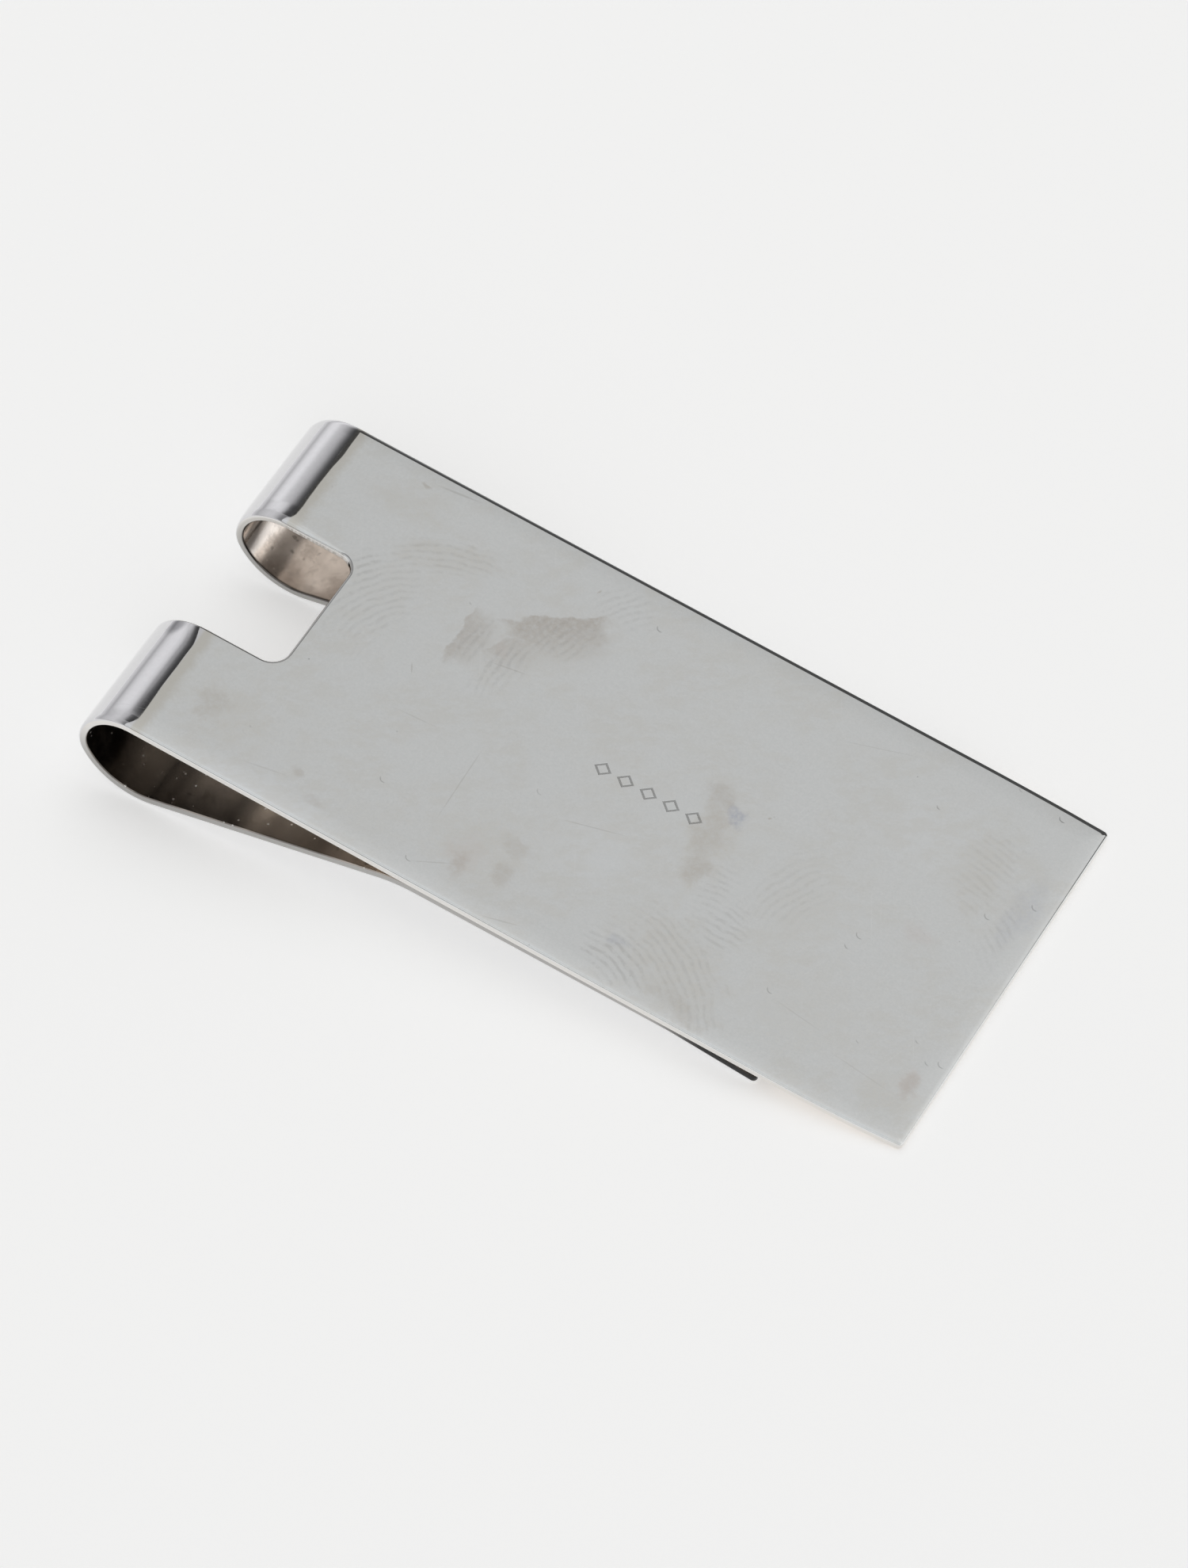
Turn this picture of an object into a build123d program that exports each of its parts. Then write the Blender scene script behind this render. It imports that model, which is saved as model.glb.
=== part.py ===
"""Money clip: one strip of spring metal folded back on itself.

The strip is split where the real one flexes: a flat back plate, two curved fold arms on either
side of a square window, and the spring leaf that presses against the plate. Row axes: +X from
the fold to the free end, +Y across the clip, +Z up. The clip lies as it does on a table, on its
fold and on the free end of its plate, and the origin is under the middle of its bounding box.
"""

import os
from math import asin, atan2, cos, degrees, hypot, radians, sin

from build123d import *

# Strip
width = 26.0
thickness = 0.57
edge_round = 0.12
corner_radius = 0.45

# Back plate, measured along its face from the middle of the top bend
bend_start = 0.2
plate_end = 50.45

# Window that leaves two arms at the fold
window_width = 9.1
window_end = 5.05
window_corner = 1.2

# Fold, on the middle line of the strip: radius and turn of each bend
top_bend = (2.90, 93.6)
heel_bend = (1.90, 30.8)
toe_bend = (4.05, 73.3)

# Spring leaf: it climbs to the plate, runs along it and ends in a lip that stands off
leaf_clearance = 0.06
crest_radius = 8.0
lip_start = 35.3
lip_radius = 8.0
lip_angle = 4.6
leaf_end = 41.3
leaf_end_width = 25.5
leaf_window_end = 6.9

half_width = width / 2
half_thickness = thickness / 2
ramp_angle = top_bend[1] + heel_bend[1] + toe_bend[1] - 180

# Middle line of the strip, in the plate's axes: X along the plate, Y out of its face
with BuildLine() as fold_line:
    top_arc = JernArc((bend_start, -half_thickness), (-1, 0), *top_bend)
    heel_arc = JernArc(top_arc @ 1, top_arc % 1, *heel_bend)
    toe_arc = JernArc(heel_arc @ 1, heel_arc % 1, *toe_bend)

ramp_foot = toe_arc @ 1
clamp_level = -thickness - leaf_clearance - half_thickness
crest_rise = crest_radius * (1 - cos(radians(ramp_angle)))
ramp_length = (clamp_level - crest_rise - ramp_foot.Y) / sin(radians(ramp_angle))

with BuildLine() as leaf_line:
    ramp = PolarLine(ramp_foot, ramp_length, ramp_angle)
    crest_arc = JernArc(ramp @ 1, ramp % 1, crest_radius, -ramp_angle)
    clamp_run = Line(crest_arc @ 1, (lip_start, clamp_level))
    lip_arc = JernArc(clamp_run @ 1, clamp_run % 1, lip_radius, -lip_angle)
    lip_length = (leaf_end - (lip_arc @ 1).X) / cos(radians(lip_angle))
    lip_run = PolarLine(lip_arc @ 1, lip_length, -lip_angle)

# Tilt at rest: the line from the plate's lower free edge that touches the bottom of the toe
toe_centre = toe_arc.center_point
reach = plate_end - toe_centre.X
rise = -thickness - toe_centre.Y
tilt = degrees(atan2(rise, reach) + asin((toe_bend[0] + half_thickness) / hypot(reach, rise)))
along = Vector(cos(radians(tilt)), 0, -sin(radians(tilt)))
outward = Vector(sin(radians(tilt)), 0, cos(radians(tilt)))


def row_point(x, y):
    """Where a point of the side view stands before the clip is centred on the origin."""
    return along * x + outward * y


# Extent of the side view at rest, from the few points that can lie furthest out
top_centre = top_arc.center_point
fold_left = row_point(top_centre.X, top_centre.Y).X - top_bend[0] - half_thickness
fold_bottom = row_point(toe_centre.X, toe_centre.Y).Z - toe_bend[0] - half_thickness
plate_right = row_point(plate_end, 0).X
face_origin = Vector(-(fold_left + plate_right) / 2, 0, -fold_bottom)

plate_face = Plane(origin=face_origin, x_dir=along, z_dir=outward)
side_view = Plane(origin=face_origin, x_dir=along, z_dir=(0, -1, 0))
run_axis = Axis(face_origin, along)
outward_axis = Axis(face_origin, outward)


def window(start, end):
    """Rounded window between the arms, from the fold to its straight end."""
    corner = window_corner
    with Locations((end, 0)):
        Rectangle(2 * (end - start), window_width, align=(Align.MAX, Align.CENTER), mode=Mode.SUBTRACT)
    ends = vertices().filter_by_position(Axis.X, end - corner, end + corner)
    fillet(ends, corner)


# Back plate
with BuildPart() as back_plate:
    with BuildSketch(plate_face):
        with Locations((bend_start, 0)):
            Rectangle(plate_end - bend_start, width, align=(Align.MIN, Align.CENTER))
        fillet(vertices().sort_by(Axis.X)[-2:], corner_radius)
        window(bend_start, window_end)
    extrude(amount=-thickness)
    levels = edges().group_by(outward_axis)
    rims = levels[0] + levels[-1]
    fillet(rims.filter_by_position(run_axis, bend_start + edge_round, plate_end), edge_round)

# Fold arms, one on each side of the window
fold_arms = {}
for name, side in (("near_fold_arm", -1), ("far_fold_arm", 1)):
    with BuildPart() as arm:
        with BuildSketch(side_view.offset(-side * window_width / 2)):
            add(fold_line.line)
            trace(line_width=thickness)
        extrude(amount=-side * (width - window_width) / 2)
        fillet(edges().filter_by(GeomType.CIRCLE), edge_round)
    fold_arms[name] = arm.part

# Spring leaf: the side view cut to the leaf's outline
with BuildPart() as spring_leaf:
    with BuildSketch(side_view):
        add(leaf_line.line)
        trace(line_width=thickness)
    extrude(amount=half_width, both=True)
    with BuildSketch(plate_face):
        with BuildLine():
            Polyline(
                (0, -half_width),
                (leaf_end, -leaf_end_width / 2),
                (leaf_end, leaf_end_width / 2),
                (0, half_width),
                close=True,
            )
        make_face()
        fillet(vertices().sort_by(Axis.X)[-2:], corner_radius)
        window(0, leaf_window_end)
    extrude(amount=-2 * (top_bend[0] + toe_bend[0]), mode=Mode.INTERSECT)
    rims = edges().filter_by(lambda edge: edge.length > 1.1 * thickness)
    seams = rims.filter_by(Axis.Y).filter_by_position(run_axis, leaf_window_end + 1, leaf_end - 1)
    seams += rims.filter_by(Axis.Y).filter_by_position(run_axis, 0, leaf_window_end - 1)
    fillet(rims - seams, edge_round)

# Export
pieces = {"back_plate": back_plate.part, **fold_arms, "spring_leaf": spring_leaf.part}
os.makedirs("parts", exist_ok=True)
for name, piece in pieces.items():
    piece.label = name
    export_step(piece, f"parts/{name}.step")
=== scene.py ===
"""A money clip: one polished spring-metal strip folded back on itself, lying on a pale floor."""

from math import asin, atan2, ceil, cos, hypot, pi, radians, sin

import bmesh
import bpy
from mathutils import Matrix, Vector


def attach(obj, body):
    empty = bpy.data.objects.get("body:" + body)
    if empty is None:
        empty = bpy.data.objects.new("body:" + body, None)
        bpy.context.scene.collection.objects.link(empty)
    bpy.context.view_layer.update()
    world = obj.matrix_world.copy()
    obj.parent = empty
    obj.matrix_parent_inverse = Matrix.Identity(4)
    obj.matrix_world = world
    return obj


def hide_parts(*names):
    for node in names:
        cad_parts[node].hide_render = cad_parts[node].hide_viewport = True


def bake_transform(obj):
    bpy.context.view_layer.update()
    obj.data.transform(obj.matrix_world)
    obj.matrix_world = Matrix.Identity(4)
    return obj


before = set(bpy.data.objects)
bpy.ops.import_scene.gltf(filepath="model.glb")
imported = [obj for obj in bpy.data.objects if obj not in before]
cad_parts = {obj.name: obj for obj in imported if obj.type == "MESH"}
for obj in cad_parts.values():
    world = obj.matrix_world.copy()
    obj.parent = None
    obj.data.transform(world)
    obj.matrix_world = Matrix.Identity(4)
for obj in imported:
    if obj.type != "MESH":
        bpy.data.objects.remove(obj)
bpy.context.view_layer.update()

MM = 0.001

# ---------------------------------------------------------------- sizes of the strip, in mm
WIDTH = 26.0
THICK = 0.57
EDGE_ROUND = 0.12
CORNER = 0.3
BEND_START = 0.2
PLATE_END = 50.45
WINDOW_HALF = 4.55
WINDOW_END = 5.05
WINDOW_CORNER = 1.2
LEAF_WINDOW_END = 6.9
RAMP_FOOT = 2.1
TOP_BEND = (2.90, 93.6)
HEEL_BEND = (1.90, 30.8)
TOE_BEND = (4.05, 73.3)
LEAF_CLEARANCE = 0.06
CREST_RADIUS = 8.0
LIP_START = 35.3
LIP_RADIUS = 8.0
LIP_ANGLE = 4.6
LEAF_END = 41.3
LEAF_END_WIDTH = 25.5
EASE_LENGTH = 8.0
EASE_NEAR = 0.28
EASE_FAR = 0.14

HALF = THICK / 2
RAMP_ANGLE = TOP_BEND[1] + HEEL_BEND[1] + TOE_BEND[1] - 180


def run_on(place, length, turn):
    """Carries (x, y, heading) on along a run that turns evenly by turn radians, left being positive."""
    x, y, heading = place
    if turn == 0:
        return x + length * cos(heading), y + length * sin(heading), heading
    radius, after = length / turn, heading + turn
    return x + radius * (sin(after) - sin(heading)), y - radius * (cos(after) - cos(heading)), after


def arc(radius, degrees):
    """The (length, turn) of an arc."""
    return radius * radians(abs(degrees)), radians(degrees)


# The middle line of the strip, from the plate's free end round the fold to the leaf's lip, in the
# plate's axes: x along its face from the fold, y out of its face
START = (PLATE_END, -HALF, pi)
PLATE_RUN = (PLATE_END - BEND_START, 0)
FOLD_RUNS = [arc(*bend) for bend in (TOP_BEND, HEEL_BEND, TOE_BEND)]
place = run_on(START, *PLATE_RUN)
for fold_run in FOLD_RUNS:
    place = run_on(place, *fold_run)
TOE_CENTRE = (place[0] - TOE_BEND[0] * sin(place[2]), place[1] + TOE_BEND[0] * cos(place[2]))
clamp_level = -THICK - LEAF_CLEARANCE - HALF
crest_rise = CREST_RADIUS * (1 - cos(radians(RAMP_ANGLE)))
RAMP_RUN = ((clamp_level - crest_rise - place[1]) / sin(radians(RAMP_ANGLE)), 0)
place = run_on(run_on(place, *RAMP_RUN), *arc(CREST_RADIUS, -RAMP_ANGLE))
CLAMP_RUN = (LIP_START - place[0], 0)
place = run_on(run_on(place, *CLAMP_RUN), *arc(LIP_RADIUS, -LIP_ANGLE))
LIP_RUN = ((LEAF_END - place[0]) / cos(radians(LIP_ANGLE)), 0)
LEAF_RUNS = [RAMP_RUN, arc(CREST_RADIUS, -RAMP_ANGLE), CLAMP_RUN, arc(LIP_RADIUS, -LIP_ANGLE), LIP_RUN]
RUNS = [PLATE_RUN] + FOLD_RUNS + LEAF_RUNS

FOLD_AT = PLATE_RUN[0]
LEAF_AT = FOLD_AT + sum(length for length, turn in FOLD_RUNS)
LEAF_LENGTH = sum(length for length, turn in LEAF_RUNS)

# How the clip lies: on the bottom of its toe bend and on the plate's lower free edge
reach, rise = PLATE_END - TOE_CENTRE[0], -THICK - TOE_CENTRE[1]
TILT = atan2(rise, reach) + asin((TOE_BEND[0] + HALF) / hypot(reach, rise))
ALONG = Vector((cos(TILT), 0, -sin(TILT)))
OUTWARD = Vector((sin(TILT), 0, cos(TILT)))
ACROSS = Vector((0, 1, 0))


def side_point(x, y):
    """A point of the side view, given in the plate's axes, before the clip is centred."""
    return ALONG * x + OUTWARD * y


fold_left = side_point(BEND_START, -HALF - TOP_BEND[0]).x - TOP_BEND[0] - HALF
fold_bottom = side_point(*TOE_CENTRE).z - TOE_BEND[0] - HALF
FACE_ORIGIN = Vector((-(fold_left + side_point(PLATE_END, 0).x) / 2, 0, -fold_bottom))


def strip_frame(s):
    """Middle point, forward direction and outer normal of the strip at the length s, in the row frame."""
    place = START
    for length, turn in RUNS:
        part = min(s, length)
        place = run_on(place, part, turn * part / length)
        s -= part
        if s <= 0:
            break
    x, y, heading = place
    middle = FACE_ORIGIN + side_point(x, y)
    forward = side_point(cos(heading), sin(heading))
    outer = side_point(sin(heading), -cos(heading))
    return middle, forward, outer


# ---------------------------------------------------------------- shaping the strip
# Each piece is drawn flat, as (u, y): u is the distance from where it meets a fold arm, y runs
# across the clip. Its rims are rounded, and then it is bent along the middle line.
RIM_STEPS = 5
CORNER_STEPS = 8
CORNER_LEAST = 0.02
CORNER_EASE = 0.5
FREE_END = 2.5
STATION_STEP = 0.5
BEND_STEP = radians(1.2)
ROLL_WIDTH = 1.6
STEEP = radians(20)
FALL_STEPS = 5


def rim_profile(worn_width, roll_tilt):
    """(inset, height, tilt) of each ring of a rim, from the outer face over the edge to the inner face.

    Polishing has rolled the outer face off towards its edges: very slightly over a broad strip, and
    more over the worn width close to the edge.
    """
    falls = [(ROLL_WIDTH, 0.0), (worn_width, roll_tilt), (EDGE_ROUND * (1 - sin(STEEP)), STEEP)]
    rings, height = [(ROLL_WIDTH, HALF, 0.0)], HALF
    for (inset, tilt), (next_inset, next_tilt) in zip(falls, falls[1:]):
        step = (inset - next_inset) / FALL_STEPS
        for k in range(FALL_STEPS):
            height -= step * sin(tilt + (next_tilt - tilt) * (k + 0.5) / FALL_STEPS)
            rings.append((inset - step * (k + 1), height, tilt + (next_tilt - tilt) * (k + 1) / FALL_STEPS))
    for k in range(1, RIM_STEPS + 1):
        tilt = STEEP + (pi / 2 - STEEP) * k / RIM_STEPS
        rings.append((EDGE_ROUND * (1 - sin(tilt)), height - EDGE_ROUND * (cos(STEEP) - cos(tilt)), tilt))
    for k in range(RIM_STEPS + 1):
        tilt = pi / 2 * (1 + k / RIM_STEPS)
        rings.append((EDGE_ROUND * (1 - sin(tilt)), -HALF + EDGE_ROUND * (1 + cos(tilt)), tilt))
    return rings


OUTER_RIM = rim_profile(0.33, radians(1.0))
WINDOW_RIM = rim_profile(0.16, radians(0.6))
WORN_WINDOW_RIM = rim_profile(0.5, radians(2.6))

# By some edges the fold starts later: the edge's y, how far in that reaches, and the most, in mm
LATE_BENDS = [(-13.0, 0.9, 0.47), (-4.55, 1.6, 0.44), (4.55, 0.95, 0.5)]
LATE_FALL = 1.5
LATE_REACH = 1.3


def late_bend(y, u):
    """How much later than elsewhere the fold turns, in mm, at y and the length u into it."""
    most = max(late * max(0.0, 1 - abs(y - edge) / reach) ** LATE_FALL for edge, reach, late in LATE_BENDS)
    return most * max(0.0, 1 - u / LATE_REACH)


def arc_ways(first, last):
    """The outward ways of the points of a rounded corner."""
    angles = [first + (last - first) * k / CORNER_STEPS for k in range(CORNER_STEPS + 1)]
    return [Vector((cos(angle), sin(angle))) for angle in angles]


def bend_stations(runs):
    """Distances along some runs where the mesh has a line across, close together in the bends."""
    stations, at = [0.0], 0.0
    for length, turn in runs:
        steps = max(1, ceil(abs(turn) / BEND_STEP))
        stations += [at + length * (k + 1) / steps for k in range(steps)]
        at += length
    return stations


def blade_outline(ring, stations, half_width, length, window):
    """One ring of the plate's or the leaf's rim: near edge, free corners, far edge, then the window.

    Each point comes with the way its edge faces and the rim profile it follows.
    """
    inset = OUTER_RIM[ring][0]
    corner_in = max(CORNER, inset * (1 + CORNER_EASE) + CORNER_LEAST)
    near = [(Vector((u, -half_width(u, -1) + inset)), Vector((0, -1)), OUTER_RIM) for u in stations]
    far = [(Vector((u, half_width(u, 1) - inset)), Vector((0, 1)), OUTER_RIM) for u in reversed(stations)]
    corners = []
    for side in (-1, 1):
        centre = Vector((length - corner_in, side * (half_width(length, side) - corner_in)))
        for way in arc_ways(*((-pi / 2, 0) if side < 0 else (0, pi / 2))):
            corners.append((centre + way * (corner_in - inset), way, OUTER_RIM))
    sides = []
    for side, start_rim in ((1, WORN_WINDOW_RIM), (-1, WINDOW_RIM)):
        centre = Vector((window - WINDOW_CORNER, side * (WINDOW_HALF - WINDOW_CORNER)))
        turn = [(centre + way * (WINDOW_CORNER + WINDOW_RIM[ring][0]), -way, WINDOW_RIM)
                for way in arc_ways(*((pi / 2, 0) if side > 0 else (0, -pi / 2)))]
        start = (Vector((0, side * (WINDOW_HALF + start_rim[ring][0]))), Vector((0, -side)), start_rim)
        sides += [start] + turn if side > 0 else turn + [start]
    return near + corners + far + sides


def blade_faces(stations, window):
    """Flat faces of a blade's outline as point numbers, split across at its stations."""
    near = list(range(len(stations)))
    far_first = len(stations) + 2 * (CORNER_STEPS + 1)
    count = far_first + len(stations) + 2 * (CORNER_STEPS + 1) + 2
    far = [far_first + len(stations) - 1 - k for k in near]
    clear = next(k for k in near if stations[k] > window + ROLL_WIDTH)
    fold_end = near[:clear + 1] + far[clear::-1] + list(range(far_first + len(stations), count))
    middle = [[near[k], near[k + 1], far[k + 1], far[k]] for k in range(clear, len(stations) - 1)]
    free_end = list(range(len(stations) - 1, far_first + 1))
    return [fold_end] + middle + [free_end]


def arm_outline(ring, stations, side):
    """One ring of a fold arm's rim, on the near (-1) or far (1) side of the window."""
    outer_way, inner_way = Vector((0, side)), Vector((0, -side))
    inner_rim = WORN_WINDOW_RIM if side > 0 else WINDOW_RIM
    outer = side * (WIDTH / 2 - OUTER_RIM[ring][0])
    inner = side * (WINDOW_HALF + inner_rim[ring][0])
    return ([(Vector((u, outer)), outer_way, OUTER_RIM) for u in stations]
            + [(Vector((u, inner)), inner_way, inner_rim) for u in reversed(stations)])


def arm_faces(stations):
    """Flat faces of a fold arm's outline as point numbers."""
    last = 2 * len(stations) - 1
    return [[k, k + 1, last - k - 1, last - k] for k in range(len(stations) - 1)]


def bent_piece(name, outline, flat_faces, to_strip):
    """A closed piece of the strip: outline(ring) for each ring of the rim, bent along the middle line.

    The point attribute "blank" keeps every point's place on the flat strip, in mm: its length from
    the plate's free end, its y, and its height above the middle of the metal.
    """
    rings = range(len(OUTER_RIM))
    mesh = bpy.data.meshes.new(name)
    points, blanks, normals = [], [], []
    for ring in rings:
        for (u, y), edge_way, rim in outline(ring):
            inset, height, tilt = rim[ring]
            middle, forward, outer = strip_frame(to_strip(u))
            u_way = forward if to_strip(1) > to_strip(0) else -forward
            points.append((middle + outer * height + ACROSS * y) * MM)
            blanks.append((to_strip(u), y, height))
            side = u_way * edge_way.x + ACROSS * edge_way.y
            into_fold = to_strip(u) - FOLD_AT
            if 0 < into_fold < LATE_REACH and tilt < pi / 2:
                outer = strip_frame(max(FOLD_AT, to_strip(u) - late_bend(y, into_fold)))[2]
            normals.append(side * sin(tilt) + outer * cos(tilt))
    count = len(points) // len(rings)
    faces = [list(face) for face in flat_faces]
    faces += [[(len(rings) - 1) * count + k for k in reversed(face)] for face in flat_faces]
    for ring in range(len(rings) - 1):
        for k in range(count):
            here, after = ring * count + k, ring * count + (k + 1) % count
            faces.append([here, here + count, after + count, after])
    mesh.from_pydata(points, [], faces)
    tidy = bmesh.new()
    tidy.from_mesh(mesh)
    bmesh.ops.recalc_face_normals(tidy, faces=tidy.faces)
    tidy.to_mesh(mesh)
    tidy.free()
    mesh.attributes.new("blank", "FLOAT_VECTOR", "POINT").data.foreach_set(
        "vector", [value for blank in blanks for value in blank])
    shade_by_form(mesh, normals)
    piece = bpy.data.objects.new(name, mesh)
    bpy.context.scene.collection.objects.link(piece)
    return piece


def shade_by_form(mesh, normals):
    """Smooth shading with the true normals of the form, and flat shading on the cut ends."""
    mesh.polygons.foreach_set("use_smooth", [True] * len(mesh.polygons))
    loop_normals = [None] * len(mesh.loops)
    for polygon in mesh.polygons:
        for loop in polygon.loop_indices:
            normal = normals[mesh.loops[loop].vertex_index]
            cut_end = normal.dot(polygon.normal) < 0.5
            loop_normals[loop] = polygon.normal if cut_end else normal
    mesh.normals_split_custom_set(loop_normals)


def plate_half_width(u, side):
    """Half the plate's width, with its long edges easing in towards the free end."""
    ease = max(0.0, (u - (PLATE_RUN[0] - EASE_LENGTH)) / EASE_LENGTH)
    return WIDTH / 2 - (EASE_NEAR if side < 0 else EASE_FAR) * ease ** 2


def leaf_half_width(u, side):
    """Half the leaf's width, tapering to its tip."""
    x = LEAF_END * u / LEAF_LENGTH
    return (WIDTH + (LEAF_END_WIDTH - WIDTH) * x / LEAF_END) / 2


def make_plate():
    """The flat back plate."""
    length, window = PLATE_RUN[0], WINDOW_END - BEND_START
    stations = [0, window + ROLL_WIDTH + STATION_STEP]
    steps = round((EASE_LENGTH - FREE_END) / STATION_STEP)
    stations += [length - EASE_LENGTH + STATION_STEP * k for k in range(steps + 1)]
    return bent_piece(
        "polished_plate",
        lambda ring: blade_outline(ring, stations, plate_half_width, length, window),
        blade_faces(stations, window),
        lambda u: FOLD_AT - u)


def make_leaf():
    """The spring leaf, from the foot of its ramp to the tip of its lip."""
    window = (LEAF_WINDOW_END - BEND_START) / cos(radians(RAMP_ANGLE)) - RAMP_FOOT
    stations = bend_stations(LEAF_RUNS)
    stations[-1] = LEAF_LENGTH - FREE_END
    stations.insert(1, window + ROLL_WIDTH + STATION_STEP)
    return bent_piece(
        "polished_leaf",
        lambda ring: blade_outline(ring, stations, leaf_half_width, LEAF_LENGTH, window),
        blade_faces(stations, window),
        lambda u: LEAF_AT + u)


def make_arm(name, side):
    """A fold arm, on the near (-1) or far (1) side of the window."""
    stations = bend_stations(FOLD_RUNS)
    return bent_piece(
        name,
        lambda ring: arm_outline(ring, stations, side),
        arm_faces(stations),
        lambda u: FOLD_AT + u)


# ---------------------------------------------------------------- materials


class Graph:
    """Short ways to build a material's nodes. Sockets and plain values may be mixed as inputs."""

    def __init__(self, name):
        self.material = bpy.data.materials.new(name)
        self.material.use_nodes = True
        self.tree = self.material.node_tree
        self.shader = self.tree.nodes["Principled BSDF"]

    def put(self, value, socket):
        """Links a socket into an input, or sets the input's own value."""
        if isinstance(value, bpy.types.NodeSocket):
            self.tree.links.new(value, socket)
        else:
            socket.default_value = value

    def node(self, kind, inputs=(), **settings):
        node = self.tree.nodes.new("ShaderNode" + kind)
        for key, value in settings.items():
            setattr(node, key, value)
        for key, value in dict(inputs).items():
            self.put(value, node.inputs[key])
        return node

    def math(self, operation, *values, clamp=False):
        inputs = dict(enumerate(values))
        return self.node("Math", inputs, operation=operation, use_clamp=clamp).outputs[0]

    def vector(self, operation, *values):
        return self.node("VectorMath", dict(enumerate(values)), operation=operation)

    def ramp(self, value, low, high, low_out=0.0, high_out=1.0):
        """value taken smoothly from the range low..high to low_out..high_out."""
        inputs = {"Value": value, "From Min": low, "From Max": high, "To Min": low_out, "To Max": high_out}
        return self.node("MapRange", inputs, interpolation_type="SMOOTHSTEP").outputs["Result"]

    def graded(self, value, stops):
        """A grey that goes through (place, grey) stops as value goes from 0 to 1."""
        node = self.node("ValToRGB", {"Fac": value})
        ramp = node.color_ramp
        ramp.interpolation = "LINEAR"
        while len(ramp.elements) < len(stops):
            ramp.elements.new(0.5)
        for element, (place, grey) in zip(ramp.elements, stops):
            element.position = place
            element.color = (grey, grey, grey, 1)
        return node.outputs[0]

    def mix(self, share, first, second):
        """A colour between first and second."""
        node = self.node("Mix", data_type="RGBA")
        for key, value in ((0, share), (6, first), (7, second)):
            self.put(value, node.inputs[key])
        return node.outputs[2]

    def noise(self, vector, scale, detail=3.0, roughness=0.5):
        inputs = {"Vector": vector, "Scale": scale, "Detail": detail, "Roughness": roughness}
        return self.node("TexNoise", inputs).outputs["Fac"]

    def turned(self, vector, centre, degrees, size):
        """vector seen from centre, turned, and divided by size along its new axes."""
        shifted = self.vector("SUBTRACT", vector, (*centre, 0)).outputs[0]
        inputs = {"Vector": shifted, "Angle": radians(-degrees)}
        spun = self.node("VectorRotate", inputs, rotation_type="Z_AXIS").outputs[0]
        return self.vector("DIVIDE", spun, (*size, 1)).outputs[0]

    def patches(self, vector, ragged, places):
        """The strongest of some soft, ragged ellipses: (x, y, half length, half width, turn, strength)."""
        total = 0.0
        for x, y, half_length, half_width, turn, strength in places:
            seen = self.turned(vector, (x, y), turn, (half_length, half_width))
            away = self.vector("LENGTH", seen).outputs["Value"]
            spot = self.ramp(self.math("ADD", away, ragged), 1.1, 0.3, 0.0, strength)
            total = self.math("MAXIMUM", total, spot)
        return total

    def wipes(self, vector, ragged, places):
        """The strongest of some wiped smears, given as for patches: sharp on the left, fading rightwards."""
        total = 0.0
        for x, y, half_length, half_width, turn, strength in places:
            seen = self.turned(vector, (x, y), turn, (half_length, half_width))
            parts = self.node("SeparateXYZ", {"Vector": seen}).outputs
            along = self.math("ADD", self.math("ABSOLUTE", parts[0]), self.math("MULTIPLY", ragged, 0.5))
            left = self.math("ADD", parts[1], self.math("MULTIPLY", ragged, 0.2))
            fading = self.ramp(left, -1.6, 0.9, 0.0, strength)
            share = self.math("MULTIPLY", self.ramp(left, 1.0, 0.85), fading)
            share = self.math("MULTIPLY", share, self.ramp(along, 1.1, 0.6))
            total = self.math("MAXIMUM", total, share)
        return total

    def specks(self, vector, scale, size, share):
        """Round specks in that share of the cells."""
        cell = self.node("TexVoronoi", {"Vector": vector, "Scale": scale, "Randomness": 1.0})
        chance = self.node("SeparateColor", {"Color": cell.outputs["Color"]}).outputs[1]
        dot = self.ramp(cell.outputs["Distance"], size, size * 0.5)
        return self.math("MULTIPLY", dot, self.ramp(chance, 1 - share, 1 - share + 0.03))


# Marks of handling on the plate's face, in mm along it from the fold and across it. Each is a soft
# ellipse: place, half length, half width, turn in degrees, strength.
FILMS = [
    (5.5, 9.8, 3.2, 1.6, 0, 0.8),
    (9.3, 7.9, 4.4, 1.3, 24, 1.0),
    (7.2, 3.6, 2.6, 4.0, 0, 0.45),
    (4.4, -8.8, 3.6, 2.6, -12, 0.9),
    (14.5, -10.8, 2.6, 2.0, 0, 0.45),
    (21.0, -8.8, 3.8, 3.6, 0, 0.9),
    (16.6, 5.2, 4.2, 2.4, 37, 0.6),
    (31.5, -1.0, 2.0, 5.2, 6, 1.0),
    (33.8, -9.4, 5.4, 3.4, -35, 1.0),
    (38.2, -2.0, 3.2, 4.4, 0, 0.6),
    (41.5, -7.5, 4.5, 4.5, 0, 0.5),
    (45.6, 6.4, 2.0, 4.4, 8, 1.0),
    (48.3, -10.2, 2.6, 2.4, 0, 0.9),
    (32.0, 6.4, 1.6, 0.5, 10, 0.5),
    (28.0, 11.4, 9.0, 1.0, 2, 0.4),
]
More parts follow.
